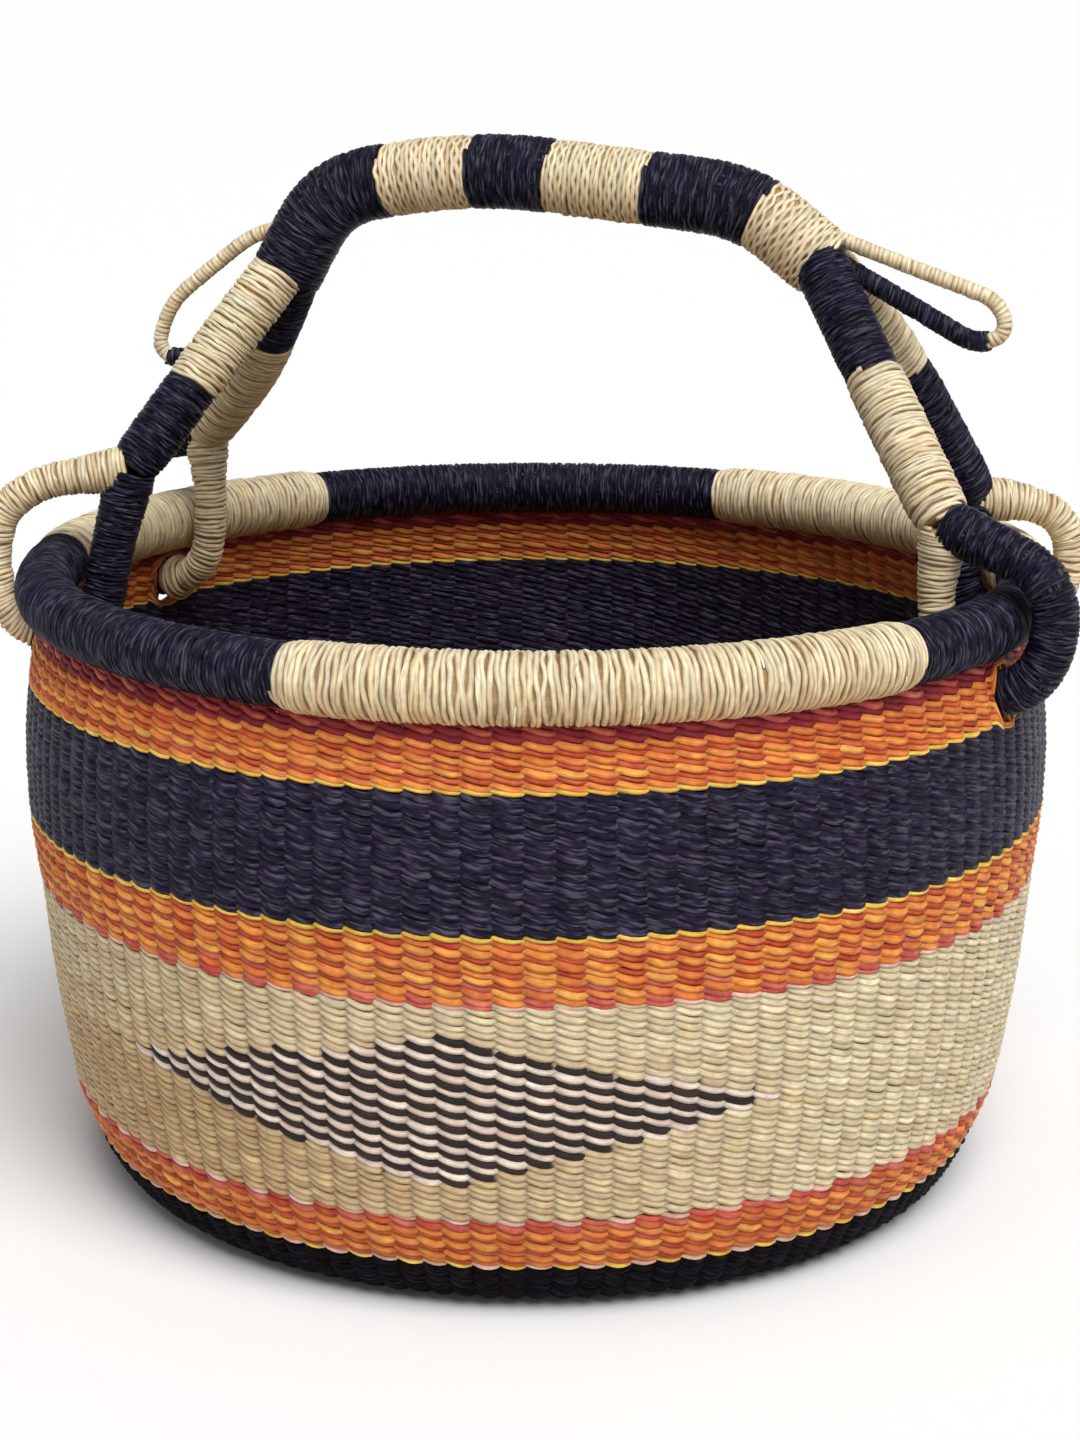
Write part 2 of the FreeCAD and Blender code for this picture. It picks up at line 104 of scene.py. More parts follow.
def strand_colours(rng, name, shape, spread):
    """A colour for every sample of strands: the shades of one grass, blending along each strand."""
    shades = LINEAR_SHADES[name]
    weights = np.stack([smooth_noise(rng, shape, spread) for _ in shades], axis=-1)
    weights = np.exp(SHADE_CONTRAST * weights)
    weights /= weights.sum(axis=-1, keepdims=True)
    brightness = 1 + 0.07 * smooth_noise(rng, shape, spread / 2)[..., None]
    return weights @ shades * brightness


# ---------------- strands as meshes

# Painted shade in the gaps between strands: share of red, green and blue lost at an edge.
PAINTED_EDGE_SHADE = (0.32, 0.42, 0.50)


def unit(vectors):
    return vectors / np.linalg.norm(vectors, axis=-1, keepdims=True)


def strand(centres, outward, half_width, half_thick, tints, closed, sides=6, runs=1, edge=PAINTED_EDGE_SHADE):
    """One or more strands of the same length, as arrays of (strand, sample, ...) values.

    outward is the direction of the flat strand's thickness. runs is the number of strips
    that each strand takes in the bake's map. edge is how much painted shade darkens its two edges.
    """
    if closed:
        ahead = np.roll(centres, -1, axis=1) - np.roll(centres, 1, axis=1)
    else:
        ahead = np.gradient(centres, axis=1)
    ahead = unit(ahead)
    outward = unit(outward - (outward * ahead).sum(-1, keepdims=True) * ahead)
    return {
        "centres": centres, "outward": outward, "across": np.cross(outward, ahead),
        "half_width": half_width, "half_thick": half_thick, "tints": tints,
        "closed": closed, "sides": sides, "runs": runs, "edge": edge,
    }


def strand_arrays(group, first_vertex, first_strip, first_seed):
    """Vertices, faces and attributes of one group of strands."""
    strands, samples = group["half_width"].shape
    sides = group["sides"]
    angle = 2 * math.pi * (np.arange(sides) + 0.25 * (sides == 5)) / sides + math.pi / 6 * (sides == 6)
    cos, sin = np.cos(angle)[None, None, :], np.sin(angle)[None, None, :]
    wide = (group["half_width"][..., None] * cos)[..., None] * group["across"][:, :, None, :]
    thick = (group["half_thick"][..., None] * sin)[..., None] * group["outward"][:, :, None, :]
    vertices = group["centres"][:, :, None, :] + wide + thick

    steps = np.linalg.norm(np.diff(group["centres"], axis=1), axis=-1)
    along = np.concatenate([np.zeros((strands, 1)), np.cumsum(steps, axis=1)], axis=1)
    seed = (first_seed + np.arange(strands))[:, None, None] * 17.3
    grain = np.stack([
        np.broadcast_to(along[..., None], vertices.shape[:3]) + seed,
        group["half_width"][..., None] * cos + seed,
        group["half_thick"][..., None] * sin + 0 * seed,
    ], axis=-1)
    # Painted shade: each strand is darker towards its two edges, in the gaps between strands.
    edge = 1 - np.array(group["edge"]) * cos[..., None] ** 2
    tints = group["tints"][:, :, None, :] * edge

    segments = samples if group["closed"] else samples - 1
    s, i, j = np.meshgrid(np.arange(strands), np.arange(segments), np.arange(sides), indexing="ij")
    next_i, next_j = (i + 1) % samples, (j + 1) % sides
    base = first_vertex + s * samples * sides
    quads = np.stack([base + i * sides + j, base + i * sides + next_j,
                      base + next_i * sides + next_j, base + next_i * sides + j], axis=-1)

    per_run = segments / group["runs"]
    run = np.floor(i / per_run + 1e-9)
    left = (i - run * per_run) / per_run
    right = (i + 1 - run * per_run) / per_run
    strip = first_strip + s * group["runs"] + run
    low, high = strip + 0.04 + 0.92 * j / sides, strip + 0.04 + 0.92 * (j + 1) / sides
    uvs = np.stack([np.stack([left, low], -1), np.stack([left, high], -1),
                    np.stack([right, high], -1), np.stack([right, low], -1)], axis=-2)

    caps = []
    if not group["closed"]:
        for number in range(strands):
            start = first_vertex + number * samples * sides
            end = start + (samples - 1) * sides
            caps.append([start + side for side in reversed(range(sides))])
            caps.append([end + side for side in range(sides)])
    return (vertices.reshape(-1, 3), quads.reshape(-1, 4), uvs.reshape(-1, 2), caps,
            grain.reshape(-1, 3), tints.reshape(-1, 3), strands * group["runs"])


def strands_object(name, groups, material):
    """One mesh object of many strands, with its colours, its grain and the bake's map."""
    parts = []
    vertex_count, strips, seed = 0, 0, 0
    for group in groups:
        part = strand_arrays(group, vertex_count, strips, seed)
        parts.append(part)
        vertex_count += len(part[0])
        strips += part[6]
        seed += len(group["half_width"])
    vertices = np.concatenate([part[0] for part in parts]) * MM
    quads = np.concatenate([part[1] for part in parts])
    uvs = np.concatenate([part[2] for part in parts])
    caps = [cap for part in parts for cap in part[3]]
    grain = np.concatenate([part[4] for part in parts])
    tints = np.concatenate([part[5] for part in parts])

    sizes = np.concatenate([np.full(len(quads), 4), [len(cap) for cap in caps]]).astype(np.int32)
    corners = np.concatenate([quads.ravel(), [v for cap in caps for v in cap]]).astype(np.int32)
    mesh = bpy.data.meshes.new(name)
    mesh.vertices.add(len(vertices))
    mesh.vertices.foreach_set("co", vertices.ravel())
    mesh.loops.add(len(corners))
    mesh.loops.foreach_set("vertex_index", corners)
    mesh.polygons.add(len(sizes))
    mesh.polygons.foreach_set("loop_start", np.concatenate([[0], np.cumsum(sizes)[:-1]]).astype(np.int32))
    mesh.polygons.foreach_set("use_smooth", np.ones(len(sizes), bool))
    mesh.update(calc_edges=True)
    mesh.validate()

    layer = mesh.uv_layers.new(name="OFBake")
    corner_uvs = np.zeros((len(corners), 2))
    corner_uvs[: len(uvs)] = uvs / [1, strips]
    corner_uvs[len(uvs):] = [0.5, 0.5 / strips]
    layer.uv.foreach_set("vector", corner_uvs.ravel())
    tint = mesh.color_attributes.new("tint", "FLOAT_COLOR", "POINT")
    tint.data.foreach_set("color", np.column_stack([tints, np.ones(len(tints))]).ravel())
    fibre = mesh.attributes.new("grain", "FLOAT_VECTOR", "POINT")
    fibre.data.foreach_set("vector", grain.ravel())
    mesh.materials.append(material)
    made = bpy.data.objects.new(name, mesh)
    bpy.context.scene.collection.objects.link(made)
    return made


def add_piece(name, groups, material, body, slot, *nodes):
    """A strand object that rides on a body and stands for CAD nodes."""
    piece = strands_object(name, groups, material)
    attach(piece, body)
    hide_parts(*nodes)


# ---------------- materials

HUE_TURN = 0.012        # how far a strand's hue wanders to either side
# Pale colour of the painted highlight dashes on the grass.
PAINTED_HIGHLIGHT = linear(170, 164, 190)
FIBRE_BUMP_DEPTH = 0.4 * MM


def noise(tree, vector, scale, detail):
    """A noise texture laid out by a vector socket."""
    node = tree.nodes.new("ShaderNodeTexNoise")
    node.inputs["Scale"].default_value = scale
    node.inputs["Detail"].default_value = detail
    tree.links.new(vector, node.inputs["Vector"])
    return node


def stretched(tree, vector, scale):
    """A vector socket scaled differently along each axis."""
    node = tree.nodes.new("ShaderNodeMapping")
    node.inputs["Scale"].default_value = scale
    tree.links.new(vector, node.inputs["Vector"])
    return node.outputs["Vector"]


def mapped(tree, value, from_min, from_max, to_min, to_max):
    """A value socket moved from one range to another."""
    node = tree.nodes.new("ShaderNodeMapRange")
    node.inputs["From Min"].default_value = from_min
    node.inputs["From Max"].default_value = from_max
    node.inputs["To Min"].default_value = to_min
    node.inputs["To Max"].default_value = to_max
    tree.links.new(value, node.inputs["Value"])
    return node.outputs["Result"]


def attribute(tree, name):
    node = tree.nodes.new("ShaderNodeAttribute")
    node.attribute_name = name
    return node


def grass_material(name, roughness, bump, streak, specular, highlight_share=0.0):
    """Dry or dyed grass: the strand's own colour, streaked along its fibres.

    The last argument sets how much of the pale colour shows as painted highlight in short dashes.
    """
    material = bpy.data.materials.new(name)
    material.use_nodes = True
    tree = material.node_tree
    nodes, links = tree.nodes, tree.links
    shader = nodes["Principled BSDF"]
    shader.inputs["Specular IOR Level"].default_value = specular

    tint = attribute(tree, "tint")
    grain = attribute(tree, "grain").outputs["Vector"]
    fibres = noise(tree, stretched(tree, grain, (0.12, 2.2, 2.2)), 1.6, 4.0)
    fibres.inputs["Roughness"].default_value = 0.62
    patches = noise(tree, grain, 0.22, 2.0)
    # Painted highlight: a noise that picks out short pale dashes along the fibres.
    highlight_dashes = noise(tree, stretched(tree, grain, (0.16, 0.9, 0.5)), 1.1, 1.0)

    darker = mapped(tree, fibres.outputs["Fac"], 0.30, 0.72, 1.0 - streak, 1.0 + 0.6 * streak)
    patchy = mapped(tree, patches.outputs["Fac"], 0.35, 0.68, 1.0 - 0.4 * streak, 1.0 + 0.25 * streak)
    both = nodes.new("ShaderNodeMath")
    both.operation = "MULTIPLY"
    links.new(darker, both.inputs[0])
    links.new(patchy, both.inputs[1])
    turned = mapped(tree, patches.outputs["Fac"], 0.3, 0.7, 0.5 - HUE_TURN, 0.5 + HUE_TURN)
    colour = nodes.new("ShaderNodeHueSaturation")
    links.new(tint.outputs["Color"], colour.inputs["Color"])
    links.new(turned, colour.inputs["Hue"])
    links.new(both.outputs["Value"], colour.inputs["Value"])
    # Painted highlight: the pale dashes are mixed into the base colour.
    pale = nodes.new("ShaderNodeMix")
    pale.data_type = "RGBA"
    pale.inputs["B"].default_value = (*PAINTED_HIGHLIGHT, 1)
    links.new(mapped(tree, highlight_dashes.outputs["Fac"], 0.50, 0.70, 0.0, highlight_share), pale.inputs["Factor"])
    links.new(colour.outputs["Color"], pale.inputs["A"])
    links.new(pale.outputs["Result"], shader.inputs["Base Color"])

    gloss = mapped(tree, fibres.outputs["Fac"], 0.3, 0.7, roughness + 0.12, roughness - 0.10)
    links.new(gloss, shader.inputs["Roughness"])
    relief = nodes.new("ShaderNodeBump")
    relief.inputs["Strength"].default_value = bump
    relief.inputs["Distance"].default_value = FIBRE_BUMP_DEPTH
    links.new(fibres.outputs["Fac"], relief.inputs["Height"])
    links.new(relief.outputs["Normal"], shader.inputs["Normal"])
    return material


NATURAL = grass_material("natural_grass", roughness=0.52, bump=0.8, streak=0.34, specular=0.25)
DYED = grass_material("dyed_grass", roughness=0.54, bump=0.8, streak=0.36, specular=0.18)
NAVY = grass_material("navy_grass", roughness=0.34, bump=1.2, streak=0.8, specular=0.12, highlight_share=0.15)
# Grass for the base turn and the base, darker than the wall's navy.
DEEP_NAVY = grass_material("deep_navy_grass", roughness=0.6, bump=1.0, streak=0.6, specular=0.04, highlight_share=0.03)


def stem_material():
    """Loose dry stems, for the CAD cores that the wraps hide."""
    material = bpy.data.materials.new("stem_bundle")
    material.use_nodes = True
    tree = material.node_tree
    shader = tree.nodes["Principled BSDF"]
    shader.inputs["Roughness"].default_value = 0.8
    shader.inputs["Specular IOR Level"].default_value = 0.1
    place = tree.nodes.new("ShaderNodeTexCoord")
    stems = noise(tree, place.outputs["Object"], 900.0, 3.0)
    ramp = tree.nodes.new("ShaderNodeValToRGB")
    for stop, shade in zip(ramp.color_ramp.elements, LINEAR_SHADES["stem"]):
        stop.color = (*shade, 1)
    tree.links.new(stems.outputs["Fac"], ramp.inputs["Fac"])
    tree.links.new(ramp.outputs["Color"], shader.inputs["Base Color"])
    return material


STEMS = stem_material()
for label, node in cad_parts.items():
    if label.endswith("_core"):
        node.data.materials.clear()
        node.data.materials.append(STEMS)

# ---------------- the wall's section

WALL = 5.0
# Height and radius of the wall's outer surface, from inside the rim's wrap to the edge of the base.
OUTER_WALL = [(233.0, 197.6), (227.3, 199.5), (222.5, 200.9), (204.8, 204.1), (179.6, 206.3), (154.4, 206.0),
              (140.7, 204.9), (127.0, 203.1), (85.1, 199.2), (43.2, 192.6), (31.6, 189.2), (20.1, 183.8),
              (7.6, 176.5), (2.2, 168.5), (0.0, 160.0), (0.0, 150.0)]
BASE_RADIUS = 160.0     # where the flat base begins
SECTION_END = 0.4       # radius where the section stops, at the middle of the base


def catmull_rom(points, per_span):
    """A smooth curve through points, with its samples evenly shared between the spans."""
    points = np.array(points, float)
    padded = np.vstack([2 * points[0] - points[1], points, 2 * points[-1] - points[-2]])
    curve = []
    for a, b, c, d in zip(padded, padded[1:], padded[2:], padded[3:]):
        u = np.linspace(0, 1, per_span, endpoint=False)[:, None]
        curve.append(0.5 * (2 * b + (c - a) * u + (2 * a - 5 * b + 4 * c - d) * u ** 2
                            + (3 * b - a - 3 * c + d) * u ** 3))
    return np.vstack(curve + [points[-1:]])


class WallSection:
    """The wall's middle line, measured downwards from inside the rim's wrap to the middle of the base."""

    def __init__(self):
        outer = catmull_rom([(radius, height) for height, radius in OUTER_WALL], 24)
        outer = np.vstack([outer, [(SECTION_END, 0.0)]])
        steps = np.linalg.norm(np.diff(outer, axis=0), axis=1)
        self.along = np.concatenate([[0], np.cumsum(steps)])
        tangent = unit(np.gradient(outer, self.along, axis=0))
        self.normal = np.stack([-tangent[:, 1], tangent[:, 0]], axis=1)
        self.middle = outer - self.normal * WALL / 2
        self.height = outer[:, 1]

    def at(self, along):
        """Radius, height, and the outward direction's two parts."""
        values = [np.interp(along, self.along, column)
                  for column in (*self.middle.T, *self.normal.T)]
        length = np.hypot(values[2], values[3])
        return values[0], values[1], values[2] / length, values[3] / length

    def at_height(self, height):
        """Distance along the section where its outer surface has this height."""
        return float(np.interp(-height, -self.height, self.along))

    def at_radius(self, radius):
        """Distance along the flat base where it has this radius."""
        return float(self.along[-1] - (radius - SECTION_END))


SECTION = WallSection()

# ---------------- rim and loops, shared sizes

rim_low, rim_high = box_mm("rim_core")
RIM_HEIGHT = (rim_low[2] + rim_high[2]) / 2
RIM_RADIUS = rim_high[0] - (rim_high[2] - rim_low[2]) / 2
wrap_low, wrap_high = box_mm("rim_natural_front")
RIM_TUBE = (wrap_high[2] - wrap_low[2]) / 2

LOOP_ANGLES = {"front_left": 194.9, "back_left": 160.4, "front_right": 344.9, "back_right": 19.9}
NAVY_PRONG = 8.9
NATURAL_PRONG = 7.0
PASSAGE_HEIGHT = 214.8  # height where the loops go through the wall
# Colour of the prong outside the rim, and of the one inside it.
PRONG_COLOURS = {
    "front_left": ("natural", "navy"),
    "back_left": ("navy", "natural"),
    "front_right": ("navy", "natural"),
    "back_right": ("natural", "navy"),
}
PRONG_RADIUS = {"navy": NAVY_PRONG, "natural": NATURAL_PRONG}

# ---------------- twined weave

WARPS = 120
STAKE_TURN = 0.4        # degrees from +X to the middle of the first stake
RELIEF = 1.0            # how far a weft strand swings out and in from the wall's middle
STRAND_THICK = 1.15     # half thickness of a weft strand
STITCH_SLANT = 0.36     # how far a stitch falls from its middle to its end, in rows
STITCH_SAG = 0.22       # how far a stitch's middle hangs below the line between its ends, in rows
PASSAGE_HALF_WIDTH = NAVY_PRONG + 1.6
PASSAGE_HALF_HEIGHT = NAVY_PRONG + 2.7      # room above and below a loop for the handle's lean
PASSAGE_OUT = 4.0       # how far outside the rim's middle line the loops go through the wall
PASSAGE_FADE = 16.0     # how far from a hole's middle the rows still bend round it
CROWN_DEPTH = 0.75      # power that flattens the tops of the stitches


def parted_by_loops(theta, along, half_width):
    """Weft rows move up and down to leave a hole where each loop goes through the wall."""
    centre = SECTION.at_height(PASSAGE_HEIGHT)
    for angle in LOOP_ANGLES.values():
        turn = (np.degrees(theta) - angle + 180) % 360 - 180
        sideways = np.radians(turn) * (RIM_RADIUS + PASSAGE_OUT) / PASSAGE_HALF_WIDTH
        away = along - centre
        room = np.clip(1 - sideways ** 2, 0, None) * PASSAGE_HALF_HEIGHT ** 2
        pushed = np.sign(away) * np.sqrt(away ** 2 + room)
        fade = np.exp(-(away / PASSAGE_FADE) ** 2)
        along = centre + away + (pushed - away) * fade
        squeeze = np.clip(np.abs(away) / np.maximum(np.abs(pushed), 1e-6), 0.45, 1.0)
        half_width = half_width * np.where(room > 0, squeeze, 1.0)
    return along, half_width


def twined(rng, rows, pitches, colour_rows, warps=WARPS, segments=5, sides=6, lifts=None, widths=None,
           motif=None):
    """Twined weft: each row is two strands that wind round each other and round the stakes.

    rows are distances along the wall's section, colour_rows a pair of grass names for each row,
    lifts how far each row stands out, and widths how wide its strands are.
    """
    count = len(rows)
    samples = warps * segments
    place = np.arange(samples) / segments
    sway = 0.045 * smooth_noise(np.random.default_rng(7), (samples,), segments * 1.2)
    theta = np.radians(STAKE_TURN + 360 / warps * (place + sway))
    row_wave = 0.12 * smooth_noise(np.random.default_rng(8), (samples,), segments * 3)
    own_wave = 0.05 * smooth_noise(rng, (count, 1, samples), segments * 1.2)
    bulge = 0.15 * smooth_noise(np.random.default_rng(9), (samples,), segments * 6)
    rib = 1 + 0.12 * smooth_noise(np.random.default_rng(10), (samples,), segments * 0.8)
    plump = 1 + 0.09 * smooth_noise(rng, (count, 2, samples), segments * 0.6)

    phase = math.pi * (place[None, None, :] + np.arange(2)[None, :, None])
    swing, rise = np.cos(phase), np.sin(phase)
    swing = np.sign(swing) * np.abs(swing) ** CROWN_DEPTH
    crown = np.abs(np.cos(phase))
    pitch = np.asarray(pitches, float)[:, None, None]
    lift = np.zeros(count) if lifts is None else np.asarray(lifts, float)
    lift = lift[:, None, None]
    width = np.ones(count) if widths is None else np.asarray(widths, float)
    slant = STITCH_SLANT * rise + STITCH_SAG * (np.clip(np.cos(phase), 0, None) - 0.3)
    along = np.asarray(rows, float)[:, None, None] + pitch * (slant + row_wave + own_wave)
    half_width = pitch * (0.51 + 0.06 * crown) * plump * width[:, None, None]
    half_thick = np.broadcast_to(STRAND_THICK * (0.85 + 0.15 * crown) * plump, half_width.shape)
    theta_all = np.broadcast_to(theta[None, None, :], along.shape)
    along, half_width = parted_by_loops(theta_all, along, half_width)

    radius, height, out_r, out_z = SECTION.at(along)
    reach = swing * (RELIEF * rib + lift) + bulge
    radius = radius + out_r * reach
    height = height + out_z * reach
    cos, sin = np.cos(theta_all), np.sin(theta_all)
    centres = np.stack([radius * cos, radius * sin, height], axis=-1)
    outward = np.stack([out_r * cos, out_r * sin, out_z], axis=-1)

    tints = np.zeros(along.shape + (3,))
    for number, pair in enumerate(colour_rows):
        for ply in range(2):
            tints[number, ply] = strand_colours(rng, pair[ply], (samples,), segments * 0.9)
    if motif:
        motif(rng, tints, place, segments)
    # Painted shade: a strand is darker where it dips between two stakes.
    tints = tints * (0.70 + 0.30 * np.clip(1.8 * crown, 0, 1))[..., None]
    shape = (count * 2, samples)
    return strand(centres.reshape(*shape, 3), outward.reshape(*shape, 3), half_width.reshape(shape),
                  half_thick.reshape(shape), tints.reshape(*shape, 3), closed=True, sides=sides, runs=4)


# The diamond in the natural band: its middle, and its half width and half height.
DIAMOND_ANGLE = 274.4
DIAMOND_STITCHES = 12.6
DIAMOND_ROW = 14
DIAMOND_ROWS = 10.6
# The straw turns tanner and darker towards this side and towards the foot of the band: partly its own tone,
# partly painted shade.
TAN_AND_SHADE_ANGLE = 240.0       # middle of the side where the straw is tanner


def diamond_motif(first_row):
    """Paints a diamond of dark and pale strands; rows are counted from the top of the band.

    The straw round it turns tanner towards one side and towards the foot of the band: partly its own tone,
    partly painted shade.
    """
    def paint(rng, tints, place, segments):
        turn = np.radians(STAKE_TURN + 360 / WARPS * place - TAN_AND_SHADE_ANGLE)
        side = np.clip(np.cos(turn), 0, 1) ** 1.5
        for number in range(len(tints)):
            low = np.clip((first_row + number - 6) / 12, 0, 1)
            # Partly the straw's own tone, partly painted shade.
            for ply in range(2):
                tan = strand_colours(rng, "tan", place.shape, segments * 0.9)
                share = (side * (0.35 + 0.65 * low))[:, None]
                tints[number, ply] += (tan - tints[number, ply]) * share
        stitch = np.round(place)
        middle = (DIAMOND_ANGLE - STAKE_TURN) / 360 * WARPS
        across = np.abs(stitch - middle) / DIAMOND_STITCHES
        for number in range(len(tints)):
            row = first_row + number
            inside = across + abs(row - DIAMOND_ROW) / DIAMOND_ROWS <= 1
            for ply in range(2):
                grass = "bark" if ply == row % 2 else "shell"
                painted = strand_colours(rng, grass, place.shape, segments * 0.7)
                tints[number, ply][inside] = painted[inside]
    return paint


UPPER_ROWS = [("orange", "orange"), ("ember", "ember"), ("orange", "orange"), ("ember", "orange"),
              ("amber", "orange"), ("ember", "ember"), ("orange", "orange"), ("yellow", "yellow")]
MIDDLE_ROWS = [("yellow", "yellow"), ("ember", "orange"), ("orange", "amber"), ("ember", "ember"),
               ("orange", "amber"), ("ember", "orange"), ("orange", "amber"), ("ember", "rose"),
               ("amber", "orange"), ("orange", "rose"), ("blush", "rose")]
LOWER_ROWS = [("blush", "rose"), ("rose", "ember"), ("orange", "orange"), ("ember", "ember"),
              ("orange", "amber"), ("ember", "ember"), ("orange", "orange"), ("ember", "orange"),
              ("yellow", "blush")]
THIN_ROW = 0.62         # height of a pale edge row, in ordinary rows


def spread_rows(top, foot, count, shares=None):
    """Middles of rows that share the wall between two distances, and their heights."""
    shares = np.ones(count) if shares is None else np.array(shares, float)
    pitches = (foot - top) * shares / shares.sum()
    return top + np.cumsum(pitches) - pitches / 2, pitches


def heights_of(node):
    """Distances along the section of a CAD band's top and foot."""
    low, high = box_mm(node)
    return SECTION.at_height(high[2]), SECTION.at_height(low[2])


def is_sunk(pair):
    """Whether a row is one of the darker ones that lie deeper."""
    return pair[0] in ("ember", "magenta")


# Bright rows stand a little proud of the darker rows between them, and are wider.
SUNK_LIFT, PROUD_LIFT = -0.35, 0.18
SUNK_WIDTH, PROUD_WIDTH = 0.92, 1.08
STAKE_HALF_WIDTH = 1.3
STAKE_HALF_THICK = 0.4


def stake_group(rng, spans, samples):
    """Stakes along the wall's section, each given as (angle, first distance, last distance)."""
    spans = np.array(spans, float)
    angle = np.radians(spans[:, :1])
    share = np.linspace(0, 1, samples)
    along = spans[:, 1:2] * (1 - share) + spans[:, 2:3] * share
    radius, height, out_r, out_z = SECTION.at(along)
    cos, sin = np.cos(angle), np.sin(angle)
    centres = np.stack([radius * cos, radius * sin, height], axis=-1)
    outward = np.stack([out_r * cos, out_r * sin, out_z], axis=-1)
    tints = strand_colours(rng, "stem", along.shape, samples)
    # The stakes are near black where they stand in the navy band and the base.
    dyed = strand_colours(rng, "dark_stem", along.shape, samples)
    navy_top, navy_foot = heights_of("navy_band")
    base_top, _ = heights_of("base_navy_band")
    dark = ((along > navy_top) & (along < navy_foot)) | (along > base_top)
    tints = np.where(dark[..., None], dyed, tints)
    return strand(centres, outward, np.full(along.shape, STAKE_HALF_WIDTH),
                  np.full(along.shape, STAKE_HALF_THICK), tints, closed=False, sides=4)


def wall_stakes():
    """The stakes between the weft strands, stopped above and below each loop's hole."""
    rng = np.random.default_rng(51)
    top, _ = heights_of("wall_stakes")
    foot = SECTION.at_radius(BASE_RADIUS)
    centre = SECTION.at_height(PASSAGE_HEIGHT)
    whole, short = [], []
    for number in range(WARPS):
        angle = STAKE_TURN + 360 / WARPS * number
        turn = min(((angle - loop + 180) % 360 - 180 for loop in LOOP_ANGLES.values()), key=abs)
        sideways = math.radians(turn) * (RIM_RADIUS + PASSAGE_OUT) / PASSAGE_HALF_WIDTH
        start = top
        if abs(sideways) < 1:
            room = PASSAGE_HALF_HEIGHT * math.sqrt(1 - sideways ** 2)
            short.append((angle, top, centre - room))
            start = centre + room
        whole.append((angle, start, foot))
    return [stake_group(rng, whole, 60), stake_group(rng, short, 6)]


def wall_band(name, node, colour_rows, material, slot, seed, top=None, foot=None, lift=0.0):
    """A twined band between the top and the foot of its CAD node, unless other limits are given."""
    high_edge, low_edge = heights_of(node)
    shares = [THIN_ROW if pair[0] in ("yellow", "blush") else 1.0 for pair in colour_rows]
    rows, pitches = spread_rows(high_edge if top is None else top, low_edge if foot is None else foot,
                                len(colour_rows), shares)
    sunk = [is_sunk(pair) for pair in colour_rows]
    weave = twined(np.random.default_rng(seed), rows, pitches, colour_rows,
                   lifts=np.where(sunk, SUNK_LIFT, PROUD_LIFT) + lift,
                   widths=np.where(sunk, SUNK_WIDTH, PROUD_WIDTH))
    add_piece(name, [weave], material, "basket", slot, node)


add_piece("stakes", wall_stakes(), NATURAL, "basket", "grass_core", "wall_stakes")
wall_band("border_weave", "border_row", [("magenta", "magenta"), ("magenta", "rose"), ("magenta", "magenta")],
          DYED, "pink_weft", 11, top=SECTION.at_height(231.0))
wall_band("upper_orange_weave", "upper_orange_band", UPPER_ROWS, DYED, "orange_weft", 12)
wall_band("navy_weave", "navy_band", [("navy", "navy")] * 17, NAVY, "navy_weft", 13)
wall_band("middle_orange_weave", "middle_orange_band", MIDDLE_ROWS, DYED, "orange_weft", 14)
wall_band("lower_orange_weave", "lower_orange_band", LOWER_ROWS, DYED, "orange_weft", 16)
wall_band("base_turn_weave", "base_navy_band", [("deep_navy", "deep_navy")] * 12, DEEP_NAVY, "navy_weft", 17,
          foot=SECTION.at_radius(BASE_RADIUS), lift=0.7)

NATURAL_ROWS = 30


def natural_weave():
    """The straw band with its diamond, in two pieces one above the other."""
    top, foot = heights_of("natural_band")
    rows, pitches = spread_rows(top, foot, NATURAL_ROWS)
    half = NATURAL_ROWS // 2
    pieces = (("natural_weave_upper", 0, half), ("natural_weave_lower", half, NATURAL_ROWS))
    for name, first, last in pieces:
        colours = [("natural", "natural")] * (last - first)
        weave = twined(np.random.default_rng(20 + first), rows[first:last], pitches[first:last], colours,
                       segments=6, motif=diamond_motif(first))
        add_piece(name, [weave], NATURAL, "basket", "natural_weft", "natural_band")


natural_weave()

# Base rings: outer radius, inner radius, number of stakes that the weft goes round there.
BASE_RINGS = {
    "base_weave_outer": [(160.0, 102.0, 120)],
    "base_weave_inner": [(102.0, 52.0, 60), (52.0, 26.0, 30), (26.0, 8.0, 15), (8.0, 0.4, 8)],
}
BASE_PITCH = 3.6        # height of a row on the base

for name, rings in BASE_RINGS.items():
    base_rng = np.random.default_rng(len(rings) + 30)
    groups = []
    for outside, inside, warps in rings:
        begin, finish = SECTION.at_radius(outside), SECTION.at_radius(inside)
        rows, pitches = spread_rows(begin, finish, round((outside - inside) / BASE_PITCH))
        groups.append(twined(base_rng, rows, pitches, [("deep_navy", "deep_navy")] * len(rows), warps=warps,
                             segments=4, sides=5))
        spokes = [(STAKE_TURN + 360 / warps * number, begin, finish) for number in range(warps)]
        groups.append(stake_group(base_rng, spokes, 12))
    add_piece(name, groups, DEEP_NAVY, "basket", "navy_weft", "base_disc")

# ---------------- wrapped bundles

BEND_SHARE = 0.45       # share of the shorter neighbouring run that a bend takes
STEP = 1.0              # distance between the samples of a bundle's middle line


